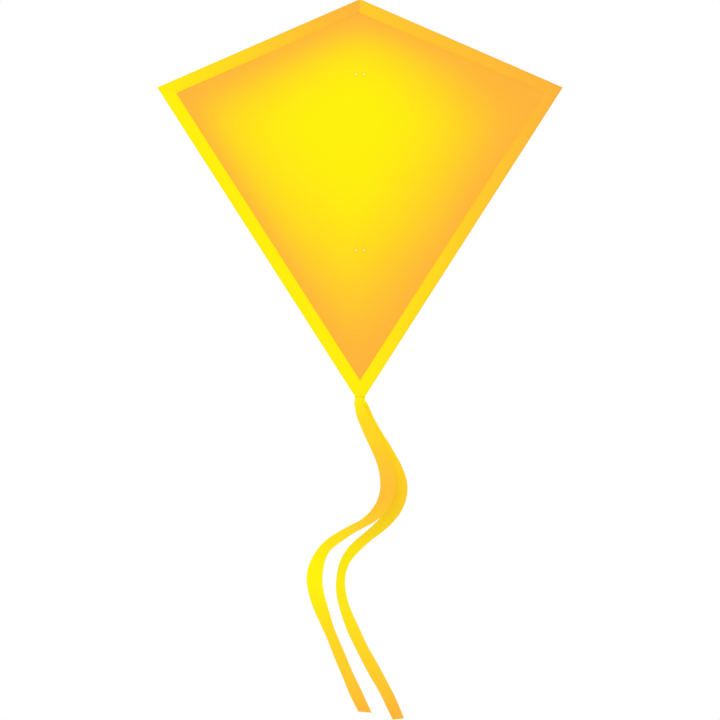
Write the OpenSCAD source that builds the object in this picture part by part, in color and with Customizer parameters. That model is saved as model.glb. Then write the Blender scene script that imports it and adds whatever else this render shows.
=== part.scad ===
// Single-line diamond kite: a cloth sail with mitred edge bindings on a cross of two rods,
// with two ribbon tails. It stands as it flies: +Z to the nose, the sail's face towards -Y
// and the rods behind it. The origin is on the sail's face at the upper bridle point.

/* [Sail] */
// Wing tip to wing tip
kite_w = 762; // [600:1:1000]
// Nose to the point where the two lower edges would meet
kite_h = 760; // [600:1:1000]
// Height from the nose down to the wing tips
tip_drop = 165; // [140:1:220]
// Length that the squared tail end takes off the lower point
tail_trim = 15; // [13:1:18]
// Width of the folded edge bindings
binding_w = 24; // [18:1:30]
// Thickness of the sail cloth
cloth_t = 0.4; // [0.3:0.1:0.6]
// Thickness of an edge binding, both layers and the sail between them
binding_t = 1.4; // [1.2:0.1:2]
// Half the width of the strip of sail that stays with the spine
fold_x = 16; // [15:1:20]

/* [Rods and fittings] */
// Radius of the glass fibre rods
rod_r = 2; // [1.5:0.25:2.5]
// Radius of the soft end caps
cap_r = 3; // [2.8:0.1:3.4]
// Length of an end cap
cap_l = 14; // [10:1:18]
// Outer radius of the two sleeves of the cross joint
sleeve_r = 3.6; // [3.4:0.1:4]
// Length of the two sleeves of the cross joint
sleeve_l = 26; // [20:1:30]
// Radius of the round pads that the two sleeves turn on
pad_r = 6; // [5:0.5:7]
// Outer radius of the rubber stop rings
ring_r = 4; // [3.8:0.1:4.4]

/* [Bridle points] */
// Height of the upper bridle point above the cross joint
bridle_rise = 24; // [22:1:40]
// Depth of the lower bridle point below the upper one
bridle_span = 330; // [250:1:380]
// Distance of each eyelet from the middle of the sail
eyelet_x = 8; // [7:0.5:9]
// Radius of the hole through an eyelet
eyelet_r = 1.2; // [1:0.1:1.4]

/* [Tails] */
// Full width of a ribbon
ribbon_w = 32; // [20:1:34]
// Thickness of a ribbon
ribbon_t = 0.6; // [0.4:0.1:1]

/* [Hidden] */
$fn = 48;

half_w = kite_w / 2;
cross_z = -bridle_rise;
nose_z = cross_z + tip_drop;
point_z = nose_z - kite_h;
tail_z = point_z + tail_trim;

// The outline as seen from the front, anticlockwise from the nose
outline = [[0, nose_z], [-half_w, cross_z], [0, point_z], [half_w, cross_z]];
edge_seam = 1;
fold_gap = 1;
far = 2000;

// Depths behind the middle of the sail cloth
back_of_binding = binding_t / 2;
pocket_wall = 0.8;
cap_play = 0.2;
spine_y = back_of_binding + pocket_wall + cap_play + cap_r + 0.1;
rod_play = 0.04;
stud_r = 1.9;
stud_play = 0.05;
head_r = 2.5;
head_play = 0.2;
head_l = 0.8;
neck_l = 1.4;
pad_gap = 0.3;
clip_wall = 0.8;
head_y = spine_y + rod_r + rod_play + clip_wall + 0.1;
pad_y = head_y + head_l + 0.1 + neck_l;
spreader_y = pad_y + pad_gap + sleeve_r;

// Rod lengths
nose_gap = 7;
strap_room = 16;
spine_top = nose_z - nose_gap;
spine_bottom = tail_z + strap_room;
tip_gap = 15;
spreader_half = half_w - tip_gap;
cap_end = 2;

// The wings lean back to meet the rod ends
pocket_l = 34;
pocket_r = cap_r + cap_play + pocket_wall;
tip_pocket_x = spreader_half - 6;
lean = asin((spreader_y - spine_y) / (tip_pocket_x - fold_x));

stop_ring_l = 3;
stop_ring_play = 0.3;
patch_r = 13.5;
patch_t = 0.4;
eyelet_flange_r = 2.8;
eyelet_flange_t = 0.6;
eyelet_barrel_r = 1.8;

strap_r = 5.5;
strap_t = 1.2;
strap_y = back_of_binding + 0.7 + strap_t / 2;
rivet_r = 1.5;
rivet_head_r = 3;
rivet_z = tail_z + strap_r;
swing_z = tail_z - 8;

// Points along the middle of each ribbon: distance below the nose, sideways, backwards from the
// strap, turn of the ribbon about its own length in degrees, and share of its full width
front_route = [
    [753.5, -2.8, -0.5, 1, 0.45], [762, -2.3, -0.7, 5, 0.49], [790, 8.5, -5, 34, 0.84],
    [832, 28.8, -13, 36, 0.94], [875, 47, -22, 33, 0.98], [909, 52.5, -26, 25, 0.98],
    [938, 47, -22, 33, 0.98], [960, 34, -14, 47, 1], [980, 11.5, -6, 60, 1], [1000, -22.5, 4, 61, 1],
    [1025, -58.5, 15, 53, 1], [1052, -76.8, 23, 40, 1], [1085, -85.2, 27, 21, 1],
    [1120, -80.8, 24, 25, 1], [1165, -65, 14, 43, 1], [1210, -46.5, 3, 50, 1],
    [1256, -27.3, -6, 46.5, 1], [1298, -8.5, -12, 44, 1], [1336.5, 9.8, -14, 44, 1]
];
back_route = [
    [753.5, 2.8, 0.5, 0, 0.45], [762, 5.5, 0.7, -1, 0.56], [785, 14, 7, -29, 0.75],
    [820, 31, 10, -35, 0.9], [850, 49, 12, -36, 1], [882, 66, 14, -34, 1], [914, 74.5, 15, -27, 1],
    [942, 71.5, 16, -30, 1], [966, 59, 18, -39, 1], [990, 37.2, 21, -46, 1], [1012, 10.5, 24, -50, 1],
    [1036, -14.8, 27, -52, 1], [1062, -31, 28, -55, 1], [1095, -37.3, 25, -60, 1],
    [1130, -33, 17, -55, 1], [1168, -19.6, 5, -50, 1], [1212, 0.8, -8, -47, 1],
    [1256, 24.6, -17, -46, 1], [1302, 50, -22, -47, 1], [1348.5, 71.2, -24, -53, 1]
];
steps_per_stretch = 3;

function unit(v) = v / norm(v);
function left_of(a, b) = unit([a[1] - b[1], b[0] - a[0]]);
function inset(points, d) = let (n = len(points))
    [for (i = [0 : n - 1])
        let (before = left_of(points[(i + n - 1) % n], points[i]),
             after = left_of(points[i], points[(i + 1) % n]))
        points[i] + d * (before + after) / (1 + before * after)];

// A point of a smooth curve through a list of points, at t from one point to the next
function between(p, i, t) = let (
        a = p[max(i - 1, 0)], b = p[i], c = p[i + 1], d = p[min(i + 2, len(p) - 1)])
    b + 0.5 * t * ((c - a) + t * ((2 * a - 5 * b + 4 * c - d) + t * (3 * b - a - 3 * c + d)));
function smooth(p) = concat(
    [for (i = [0 : len(p) - 2]) for (k = [0 : steps_per_stretch - 1]) between(p, i, k / steps_per_stretch)],
    [p[len(p) - 1]]);

// A flat shape drawn in X and Z, from depth y0 to y1
module slab(y0, y1) {
    translate([0, y1, 0])
        rotate([90, 0, 0])
            linear_extrude(y1 - y0)
                children();
}

module rod_along_z(r, z0, z1, y) {
    translate([0, y, z0])
        cylinder(r = r, h = z1 - z0);
}

module rod_along_x(r, x0, x1, y, z) {
    translate([x0, y, z])
        rotate([0, 90, 0])
            cylinder(r = r, h = x1 - x0);
}

module rod_along_y(r, x, y0, y1, z) {
    translate([x, y0, z])
        rotate([-90, 0, 0])
            cylinder(r = r, h = y1 - y0);
}

module strip(x0, x1) {
    translate([x0, tail_z])
        square([x1 - x0, far]);
}

// Carries a piece of the right wing to its place on the side asked for
module on_wing(side) {
    mirror([side < 0 ? 1 : 0, 0, 0])
        translate([fold_x, 0, 0])
            rotate([0, 0, lean])
                translate([-fold_x, 0, 0])
                    children();
}

// The sail between two distances from the middle
module sail(x0, x1) {
    slab(-cloth_t / 2, cloth_t / 2)
        intersection() {
            polygon(inset(outline, edge_seam));
            strip(x0, x1);
        }
}

// The binding along one edge of the outline, folded round the sail
module binding(edge, x0, x1) {
    inner = inset(outline, binding_w);
    next = (edge + 1) % 4;
    difference() {
        slab(-binding_t / 2, binding_t / 2)
            intersection() {
                polygon([outline[edge], outline[next], inner[next], inner[edge]]);
                strip(x0, x1);
            }
        sail(x0 - 1, x1 + 1);
    }
}

module eyelet_holes(z) {
    for (x = [-eyelet_x, eyelet_x])
        rod_along_y(eyelet_barrel_r, x, -5, 5, z);
}

module patch(z) {
    difference() {
        rod_along_y(patch_r, 0, cloth_t / 2, cloth_t / 2 + patch_t, z);
        eyelet_holes(z);
    }
}

module eyelets(z) {
    front = -cloth_t / 2;
    back = cloth_t / 2 + patch_t;
    for (x = [-eyelet_x, eyelet_x])
        difference() {
            union() {
                rod_along_y(eyelet_barrel_r, x, front - eyelet_flange_t, back + eyelet_flange_t, z);
                rod_along_y(eyelet_flange_r, x, front - eyelet_flange_t, front, z);
                rod_along_y(eyelet_flange_r, x, back, back + eyelet_flange_t, z);
            }
            rod_along_y(eyelet_r, x, -5, 5, z);
        }
}

// A rod pocket with its rod along Z, its closed end at z_end and its mouth at z_mouth
module pocket_along_z(z_end, z_mouth, width) {
    low = min(z_end, z_mouth);
    high = max(z_end, z_mouth);
    closed = 1.5;
    inside = z_end > z_mouth ? low - 1 : low + closed;
    difference() {
        union() {
            translate([-width / 2, back_of_binding, low])
                cube([width, pocket_wall, high - low]);
            translate([-pocket_r, back_of_binding, low])
                cube([2 * pocket_r, spine_y - back_of_binding, high - low]);
            rod_along_z(pocket_r, low, high, spine_y);
        }
        rod_along_z(cap_r + cap_play, inside, inside + high - low - closed + 1, spine_y);
    }
}

// The sleeves of the cross joint turn on each other: a stud with a head, snapped into a socket
module spine_clip() {
    color("#20201f")
        difference() {
            union() {
                rod_along_z(sleeve_r, cross_z - sleeve_l / 2, cross_z + sleeve_l / 2, spine_y);
                rod_along_y(pad_r, 0, spine_y, pad_y, cross_z);
            }
            rod_along_z(rod_r + rod_play, cross_z - sleeve_l, cross_z + sleeve_l, spine_y);
            rod_along_y(stud_r + stud_play, 0, head_y, pad_y + 1, cross_z);
            rod_along_y(head_r + head_play, 0, head_y, head_y + head_l + 0.2, cross_z);
        }
}

module spreader_clip() {
    front = pad_y + pad_gap;
    color("#20201f")
        difference() {
            union() {
                rod_along_x(sleeve_r, -sleeve_l / 2, sleeve_l / 2, spreader_y, cross_z);
                rod_along_y(pad_r, 0, front, spreader_y, cross_z);
                rod_along_y(stud_r, 0, head_y + 0.1, front + 0.1, cross_z);
                rod_along_y(head_r, 0, head_y + 0.1, head_y + head_l, cross_z);
            }
            rod_along_x(rod_r + rod_play, -sleeve_l, sleeve_l, spreader_y, cross_z);
        }
}

module spine() {
    color("#2b2b2c")
        rod_along_z(rod_r, spine_bottom, spine_top, spine_y);
}

// A cap slipped over a rod end: the rod runs along Z through the origin and ends there
module cap() {
    difference() {
        translate([0, 0, -cap_l + cap_end])
            cylinder(r = cap_r, h = cap_l);
        translate([0, 0, -cap_l])
            cylinder(r = rod_r, h = cap_l);
    }
}

module spine_nose_cap() {
    color("#1a1a1a")
        translate([0, spine_y, spine_top])
            cap();
}

module spine_tail_cap() {
    color("#1a1a1a")
        translate([0, spine_y, spine_bottom])
            rotate([180, 0, 0])
                cap();
}

module nose_pocket() {
    color("#f2b834")
        pocket_along_z(spine_top + cap_end + 2, spine_top - pocket_l, 2 * fold_x - 14);
}

module tail_pocket() {
    color("#f2d21e")
        pocket_along_z(spine_bottom - cap_end - 2, spine_bottom + pocket_l, 2 * fold_x - 14);
}

module sail_center() {
    color("#fbdc1c")
        difference() {
            sail(-fold_x + fold_gap, fold_x - fold_gap);
            eyelet_holes(0);
            eyelet_holes(-bridle_span);
            rod_along_y(rivet_r, 0, -5, 5, rivet_z);
        }
}

module nose_binding() {
    color("#fcc62d")
        union() {
            binding(0, -fold_x + fold_gap, fold_x - fold_gap);
            binding(3, -fold_x + fold_gap, fold_x - fold_gap);
        }
}

module tail_binding() {
    color("#fde80c")
        difference() {
            union() {
                binding(1, -fold_x + fold_gap, fold_x - fold_gap);
                binding(2, -fold_x + fold_gap, fold_x - fold_gap);
            }
            rod_along_y(rivet_r, 0, -5, 5, rivet_z);
        }
}

module stop_ring() {
    difference() {
        cylinder(r = ring_r, h = stop_ring_l);
        translate([0, 0, -1])
            cylinder(r = rod_r, h = stop_ring_l + 2);
    }
}

module spine_stop_rings() {
    reach = sleeve_l / 2 + stop_ring_play;
    color("#141414")
        for (z = [cross_z + reach, cross_z - reach - stop_ring_l])
            translate([0, spine_y, z])
                stop_ring();
}

module spreader_stop_rings() {
    reach = sleeve_l / 2 + stop_ring_play;
    color("#141414")
        for (x = [reach, -reach - stop_ring_l])
            translate([x, spreader_y, cross_z])
                rotate([0, 90, 0])
                    stop_ring();
}

module upper_patch() {
    color("#e8a71f")
        patch(0);
}

module lower_patch() {
    color("#e8a71f")
        patch(-bridle_span);
}

module upper_eyelets() {
    color("#e9cf5a")
        eyelets(0);
}

module lower_eyelets() {
    color("#e9cf5a")
        eyelets(-bridle_span);
}

// Holds the strap of the tails behind the squared end of the sail
module tail_rivet() {
    color("#d8b25c")
        union() {
            rod_along_y(rivet_r, 0, -binding_t / 2 - 0.5, strap_y + strap_t / 2 + 0.4, rivet_z);
            rod_along_y(rivet_head_r, 0, -binding_t / 2 - 0.5, -binding_t / 2, rivet_z);
            rod_along_y(rivet_head_r, 0, binding_t / 2, strap_y - strap_t / 2 - 0.2, rivet_z);
            rod_along_y(rivet_head_r, 0, strap_y + strap_t / 2 + 0.2, strap_y + strap_t / 2 + 1.2, rivet_z);
        }
}

module spreader() {
    color("#2b2b2c")
        rod_along_x(rod_r, -spreader_half, spreader_half, spreader_y, cross_z);
}

module spreader_cap(side) {
    color("#1a1a1a")
        translate([side * spreader_half, spreader_y, cross_z])
            rotate([0, side * 90, 0])
                cap();
}

module wing_sail(side) {
    color("#fcc626")
        on_wing(side)
            sail(fold_x + fold_gap, half_w);
}

module wing_binding(side, edge, tone) {
    color(tone)
        on_wing(side)
            binding(edge, fold_x + fold_gap, half_w);
}

// A wing's rod pocket: it leans with the wing, and its hole follows the rod
module tip_pocket(side) {
    outer = spreader_half + cap_end + 1.5;
    inner = outer - pocket_l;
    plate_rise = 12;
    color("#f2b834")
        difference() {
            on_wing(side)
                union() {
                    slab(back_of_binding, back_of_binding + pocket_wall)
                        intersection() {
                            polygon(inset(outline, 2));
                            translate([inner, cross_z - plate_rise])
                                square([pocket_l, 2 * plate_rise]);
                        }
                    translate([inner, back_of_binding, cross_z - pocket_r])
                        cube([pocket_l, spine_y - back_of_binding, 2 * pocket_r]);
                    rod_along_x(pocket_r, inner, outer, spine_y, cross_z);
                }
            mirror([side < 0 ? 1 : 0, 0, 0])
                rod_along_x(cap_r + cap_play, inner - 5, spreader_half + cap_end + 0.2, spreader_y, cross_z);
        }
}

// A short strap that the two ribbons are sewn to
module tail_strap() {
    y0 = strap_y - strap_t / 2;
    color("#f4d30f")
        difference() {
            union() {
                rod_along_y(strap_r, 0, y0, y0 + strap_t, rivet_z);
                translate([-strap_r, y0, swing_z + strap_t])
                    cube([2 * strap_r, strap_t, rivet_z - swing_z - strap_t]);
            }
            rod_along_y(rivet_r + stud_play, 0, 0, far, rivet_z);
        }
}

// A ribbon swept along its route, four corners to a ring, and cut off level at its lower end
module ribbon(route) {
    p = smooth(route);
    n = len(p);
    spot = [for (q = p) [q[1], q[2] + strap_y, nose_z - q[0]]];
    corners = [for (i = [0 : n - 1])
        let (along = unit(spot[min(i + 1, n - 1)] - spot[max(i - 1, 0)]),
             side = unit([-along[2], 0, along[0]]),
             back = cross(along, side),
             across = side * cos(p[i][3]) + back * sin(p[i][3]),
             proud = cross(along, across),
             w = ribbon_w * p[i][4] / 2)
        for (k = [[-1, -1], [1, -1], [1, 1], [-1, 1]])
            let (off = k[0] * w * across + k[1] * ribbon_t / 2 * proud)
            spot[i] + off - (i == n - 1 ? along * off[2] / along[2] : [0, 0, 0])];
    // Both faces are cut along the same diagonal, so a turned stretch keeps its thickness
    sides = [for (i = [0 : n - 2]) for (k = [0 : 3])
        let (a = 4 * i + k, b = 4 * i + (k + 1) % 4)
        for (f = k < 2 ? [[a, b, a + 4], [b, b + 4, a + 4]] : [[a, b, b + 4], [a, b + 4, a + 4]]) f];
    ends = [[3, 2, 1, 0], [for (k = [0 : 3]) 4 * (n - 1) + k]];
    polyhedron(corners, concat(sides, ends));
}

module ribbon_front() {
    color("#fbc81e")
        ribbon(front_route);
}

module ribbon_back() {
    color("#fbc02a")
        ribbon(back_route);
}

spine();
spine_nose_cap();
spine_tail_cap();
nose_pocket();
tail_pocket();
sail_center();
nose_binding();
tail_binding();
spine_clip();
spine_stop_rings();
upper_patch();
lower_patch();
upper_eyelets();
lower_eyelets();
tail_rivet();
spreader();
spreader_cap(-1);  // spreader_left_cap
spreader_cap(1);  // spreader_right_cap
spreader_clip();
spreader_stop_rings();
wing_sail(-1);  // sail_left
wing_binding(-1, 3, "#fdc92b");  // binding_upper_left
wing_binding(-1, 2, "#fff000");  // binding_lower_left
tip_pocket(-1);  // tip_pocket_left
wing_sail(1);  // sail_right
wing_binding(1, 3, "#fbb834");  // binding_upper_right
wing_binding(1, 2, "#fcd21a");  // binding_lower_right
tip_pocket(1);  // tip_pocket_right
tail_strap();
ribbon_front();
ribbon_back();
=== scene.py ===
"""The looks of a single-line diamond kite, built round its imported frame. Lengths are in metres."""

import math

import bmesh
import bpy
import numpy as np
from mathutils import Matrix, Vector


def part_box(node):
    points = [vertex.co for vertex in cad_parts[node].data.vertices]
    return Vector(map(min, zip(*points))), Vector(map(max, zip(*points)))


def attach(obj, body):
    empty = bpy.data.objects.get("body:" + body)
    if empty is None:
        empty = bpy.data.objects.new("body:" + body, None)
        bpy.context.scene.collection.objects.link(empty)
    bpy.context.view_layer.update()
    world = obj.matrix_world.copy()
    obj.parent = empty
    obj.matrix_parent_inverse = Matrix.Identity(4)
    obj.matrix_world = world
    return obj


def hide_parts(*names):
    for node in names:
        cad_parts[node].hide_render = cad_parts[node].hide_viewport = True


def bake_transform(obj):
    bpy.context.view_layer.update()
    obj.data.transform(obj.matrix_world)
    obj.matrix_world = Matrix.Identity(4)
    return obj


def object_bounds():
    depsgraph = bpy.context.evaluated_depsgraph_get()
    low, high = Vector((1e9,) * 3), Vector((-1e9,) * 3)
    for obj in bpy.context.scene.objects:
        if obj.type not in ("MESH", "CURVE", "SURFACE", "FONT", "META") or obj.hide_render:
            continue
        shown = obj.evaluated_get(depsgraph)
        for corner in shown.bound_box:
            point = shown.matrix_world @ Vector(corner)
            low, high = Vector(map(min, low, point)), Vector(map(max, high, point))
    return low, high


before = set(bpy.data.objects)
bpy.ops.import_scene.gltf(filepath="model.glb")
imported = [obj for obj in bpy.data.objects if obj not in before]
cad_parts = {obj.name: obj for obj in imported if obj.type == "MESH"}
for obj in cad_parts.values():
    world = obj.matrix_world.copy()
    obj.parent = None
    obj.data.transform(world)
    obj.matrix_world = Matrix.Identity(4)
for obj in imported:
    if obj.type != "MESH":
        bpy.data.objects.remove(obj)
CAD_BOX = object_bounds()


def middle(node):
    return [(low + high) / 2 for low, high in zip(*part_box(node))]


def extent(node):
    return [high - low for low, high in zip(*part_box(node))]


# The kite's main sizes, from the frame
SPINE_LOW, SPINE_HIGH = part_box("spine")
BAR_LOW, BAR_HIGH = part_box("spreader")
SPINE_Y = middle("spine")[1]
_, BAR_Y, CROSS_Z = middle("spreader")
STRAP_Y = middle("tail_strap")[1]
ROD_R = extent("spreader")[2] / 2
NOSE_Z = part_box("nose_binding")[1].z
TAIL_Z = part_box("tail_binding")[0].z
RIVET_Z = middle("tail_rivet")[2]
LOWER_BRIDLE_Z = middle("lower_patch")[2]

# Sizes of the flat pattern, as in the part's source
HALF_W = 0.381
POINT_Z = NOSE_Z - 0.76
FOLD_X = 0.016
POCKET_END = 0.006
LEAN = math.asin((BAR_Y - SPINE_Y) / (BAR_HIGH.x - POCKET_END - FOLD_X))
BINDING_W = 0.024
EDGE_SEAM = 0.001
EYELET_X = 0.008
EYELET_R = 0.0012

# Thicknesses and stitches
CLOTH_HALF = 0.00015
BINDING_IN = 0.0002
BINDING_OUT = 0.00056
PATCH_OUT = 0.0006
STITCH_ROWS = (0.0025, 0.0215)
STITCH_PITCH = 0.0032
STITCH_L = 0.0025
THREAD_R = 0.00022

# What the camera takes in: the nose touches the top of the frame and the tails its foot
VIEW_H = 1.3506
VIEW_Z = NOSE_Z - 0.0017 - VIEW_H / 2


def smoothstep(x, low, high):
    t = np.clip((x - low) / (high - low), 0, 1)
    return t * t * (3 - 2 * t)


# ---- camera and light

def placed(name, data):
    made = bpy.data.objects.new(name, data)
    bpy.context.scene.collection.objects.link(made)
    return made


def look_at(thing, target):
    thing.rotation_euler = (Vector(target) - thing.location).to_track_quat("-Z", "Y").to_euler()


def add_camera():
    lens, sensor = 200, 36
    camera = bpy.data.cameras.new("camera")
    camera.lens, camera.sensor_width = lens, sensor
    camera.clip_start, camera.clip_end = 0.1, 50
    made = placed("camera", camera)
    made.location = (0, -VIEW_H * lens / sensor, VIEW_Z)
    look_at(made, (0, 0, VIEW_Z))
    bpy.context.scene.camera = made


def add_light(name, place, size, watts):
    light = bpy.data.lights.new(name, "AREA")
    light.shape, light.size, light.energy = "DISK", size, watts
    made = placed(name, light)
    made.location = place
    look_at(made, (0, 0, (NOSE_Z + TAIL_Z) / 2))


def add_world():
    """White all round: full strength where the camera sees it, and softer as a light."""
    world = bpy.data.worlds.new("studio")
    bpy.context.scene.world = world
    world.use_nodes = True
    tree = world.node_tree
    tree.nodes.clear()
    seen = add(tree, "ShaderNodeBackground", {"Color": (1, 1, 1, 1), "Strength": 1.0})
    lit = add(tree, "ShaderNodeBackground", {"Color": (1, 1, 1, 1), "Strength": 0.9})
    path = add(tree, "ShaderNodeLightPath")
    mix = add(tree, "ShaderNodeMixShader", {0: path.outputs["Is Camera Ray"], 1: lit.outputs[0],
                                            2: seen.outputs[0]})
    add(tree, "ShaderNodeOutputWorld", {"Surface": mix.outputs[0]})


def set_view():
    scene = bpy.context.scene
    scene.view_settings.view_transform = "Standard"
    scene.view_settings.look = "None"


# ---- materials

def add(tree, kind, inputs=(), **settings):
    """A new node with its settings, and its inputs as numbers or as the sockets that feed them."""
    made = tree.nodes.new(kind)
    for name, value in settings.items():
        setattr(made, name, value)
    for name, value in dict(inputs).items():
        if isinstance(value, bpy.types.NodeSocket):
            tree.links.new(value, made.inputs[name])
        else:
            made.inputs[name].default_value = value
    return made


def math_node(tree, operation, a, b=0.0, clamp=False):
    return add(tree, "ShaderNodeMath", {0: a, 1: b}, operation=operation, use_clamp=clamp).outputs[0]


def map_range(tree, value, from_low, from_high, to_low=0.0, to_high=1.0):
    return add(tree, "ShaderNodeMapRange", {"Value": value, "From Min": from_low, "From Max": from_high,
                                            "To Min": to_low, "To Max": to_high}).outputs[0]


def ramp(tree, value, stops):
    made = add(tree, "ShaderNodeValToRGB", {"Fac": value})
    elements = made.color_ramp.elements
    while len(elements) < len(stops):
        elements.new(0.5)
    for element, (place, colour) in zip(elements, stops):
        element.position = place
        element.color = (*colour, 1)
    return made.outputs["Color"]


def noise(tree, coordinates, scale, detail, stretch=None):
    if stretch:
        coordinates = add(tree, "ShaderNodeMapping", {"Vector": coordinates, "Scale": stretch}).outputs[0]
    return add(tree, "ShaderNodeTexNoise", {"Vector": coordinates, "Scale": scale,
                                            "Detail": detail}).outputs["Fac"]


def tinted(tree, colour, factor):
    """A colour times a number."""
    grey = add(tree, "ShaderNodeCombineColor", {0: factor, 1: factor, 2: factor}).outputs[0]
    mix = add(tree, "ShaderNodeMix", {0: 1.0, 6: colour, 7: grey}, data_type="RGBA",
              blend_type="MULTIPLY")
    return mix.outputs[2]


def bump(tree, height, strength, distance):
    return add(tree, "ShaderNodeBump", {"Height": height, "Strength": strength,
                                        "Distance": distance}).outputs[0]


def new_material(name, colour):
    made = bpy.data.materials.new(name)
    made.use_nodes = True
    made.diffuse_color = (*colour, 1)
    return made, made.node_tree, made.node_tree.nodes["Principled BSDF"]


def finish_shader(tree, shader, colour, shade, roughness, normal, values):
    """Gives the shader its colour times a shade, its roughness and bump, and some plain values."""
    tree.links.new(tinted(tree, colour, shade), shader.inputs["Base Color"])
    tree.links.new(roughness, shader.inputs["Roughness"])
    if normal:
        tree.links.new(normal, shader.inputs["Normal"])
    for name, value in values.items():
        shader.inputs[name].default_value = value


# The dye, from full yellow to full orange
DYE = ((0.0, (0.93, 0.795, 0.002)), (0.25, (0.925, 0.68, 0.009)), (0.5, (0.92, 0.585, 0.017)),
       (0.7, (0.915, 0.51, 0.027)), (0.85, (0.92, 0.46, 0.034)), (1.0, (0.92, 0.418, 0.04)))


def dyed(tree):
    """The dye's colour at the tone that the mesh holds."""
    tone = add(tree, "ShaderNodeAttribute", attribute_name="print_tone").outputs["Fac"]
    return ramp(tree, tone, DYE)


def object_place(tree):
    return add(tree, "ShaderNodeTexCoord").outputs["Object"]


def edge_wear(tree, low, high):
    """0 to 1 from where the mesh is flat to where it is sharply convex."""
    return map_range(tree, add(tree, "ShaderNodeNewGeometry").outputs["Pointiness"], low, high)


def between(tree, share, a, b):
    """One colour where share is 0, and the other where it is 1."""
    return add(tree, "ShaderNodeMix", {0: share, 6: (*a, 1), 7: (*b, 1)}, data_type="RGBA").outputs[2]


def line_grid(tree, across, period, width):
    """1 on lines a period apart, along one direction of the cloth, and 0 between them."""
    place = math_node(tree, "PINGPONG", across, period / 2)
    return map_range(tree, place, width * 0.4, width * 0.6, 1.0, 0.0)


def cloth_material(name, weave, rib, fade=1.0, rough=0.62):
    """Dyed woven cloth. Its tone is on the mesh; weave and rib are its thread and rib spacings."""
    made, tree, shader = new_material(name, (0.93, 0.65, 0.05))
    coordinates = add(tree, "ShaderNodeUVMap", uv_map="UVMap").outputs[0]
    split = add(tree, "ShaderNodeSeparateXYZ", {0: coordinates})
    along, across = split.outputs[0], split.outputs[1]
    ribs = math_node(tree, "MAXIMUM", line_grid(tree, along, rib, 0.0005),
                     line_grid(tree, across, rib, 0.0005))
    turn = 2 * math.pi / weave
    warp = math_node(tree, "SINE", math_node(tree, "MULTIPLY", along, turn))
    weft = math_node(tree, "SINE", math_node(tree, "MULTIPLY", across, turn))
    threads = math_node(tree, "MULTIPLY", warp, weft)
    cloudy = noise(tree, coordinates, 9.0, 4.0)
    fine = noise(tree, coordinates, 900.0, 2.0)
    shade = map_range(tree, cloudy, 0.3, 0.7, 0.985 * fade, 1.0 * fade)
    shade = math_node(tree, "SUBTRACT", shade, math_node(tree, "MULTIPLY", ribs, 0.022))
    shade = math_node(tree, "ADD", shade, math_node(tree, "MULTIPLY", threads, 0.012))
    height = math_node(tree, "ADD", math_node(tree, "MULTIPLY", threads, 0.25),
                       math_node(tree, "ADD", ribs, math_node(tree, "MULTIPLY", fine, 0.3)))
    finish_shader(tree, shader, dyed(tree), shade,
                  map_range(tree, fine, 0.2, 0.8, rough - 0.06, rough + 0.08),
                  bump(tree, height, 0.22, 0.00012),
                  {"Specular IOR Level": 0.03, "Sheen Weight": 0.02, "Sheen Roughness": 0.4,
                   "Sheen Tint": (1.0, 0.7, 0.1, 1)})
    return made


def thread_material():
    made, tree, shader = new_material("thread", (0.9, 0.6, 0.05))
    strands = noise(tree, object_place(tree), 2600.0, 2.0)
    finish_shader(tree, shader, dyed(tree), map_range(tree, strands, 0.2, 0.8, 0.86, 0.98),
                  map_range(tree, strands, 0.2, 0.8, 0.5, 0.65), bump(tree, strands, 0.3, 0.0001),
                  {"Specular IOR Level": 0.05})
    return made


def rod_material(name, stretch):
    """Pultruded glass fibre: dark resin with pale strands that run along the rod."""
    made, tree, shader = new_material(name, (0.03, 0.03, 0.032))
    place = object_place(tree)
    strands = noise(tree, place, 1.0, 4.0, stretch)
    scuffs = noise(tree, place, 60.0, 5.0)
    colour = ramp(tree, strands, ((0.3, (0.012, 0.012, 0.013)), (0.55, (0.028, 0.028, 0.03)),
                                  (0.75, (0.07, 0.068, 0.062))))
    finish_shader(tree, shader, colour, map_range(tree, scuffs, 0.4, 0.7, 0.85, 1.25),
                  map_range(tree, scuffs, 0.35, 0.7, 0.28, 0.48), bump(tree, strands, 0.25, 0.0001),
                  {"Coat Weight": 0.25, "Coat Roughness": 0.2})
    return made


def moulded_material(name, colour, rough, wear, specular=0.5):
    """Moulded plastic or rubber: a fine grain, cloudy gloss, and edges rubbed a little paler."""
    made, tree, shader = new_material(name, colour)
    place = object_place(tree)
    grain = noise(tree, place, 1500.0, 3.0)
    cloudy = noise(tree, place, 140.0, 4.0)
    worn = tuple(min(1.0, c * (1 - wear) + wear * 0.5) for c in colour)
    base = between(tree, edge_wear(tree, 0.52, 0.6), colour, worn)
    finish_shader(tree, shader, base, map_range(tree, cloudy, 0.3, 0.7, 0.9, 1.06),
                  map_range(tree, cloudy, 0.3, 0.7, rough - 0.06, rough + 0.08),
                  bump(tree, grain, 0.12, 0.00008), {"Specular IOR Level": specular})
    return made


def lacquer_material():
    """Brass under yellow lacquer, worn through at the rim."""
    made, tree, shader = new_material("lacquered_brass", (0.9, 0.75, 0.02))
    place = object_place(tree)
    patchy = noise(tree, place, 700.0, 4.0)
    worn = math_node(tree, "MULTIPLY", edge_wear(tree, 0.55, 0.66), map_range(tree, patchy, 0.45, 0.6),
                     clamp=True)
    base = between(tree, worn, (0.92, 0.77, 0.012), (0.75, 0.52, 0.17))
    finish_shader(tree, shader, base, map_range(tree, patchy, 0.3, 0.7, 0.95, 1.0),
                  map_range(tree, patchy, 0.3, 0.7, 0.35, 0.5), bump(tree, patchy, 0.1, 0.00008),
                  {"Specular IOR Level": 0.15})
    tree.links.new(worn, shader.inputs["Metallic"])
    return made


FLOOR_R = 0.9


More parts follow.
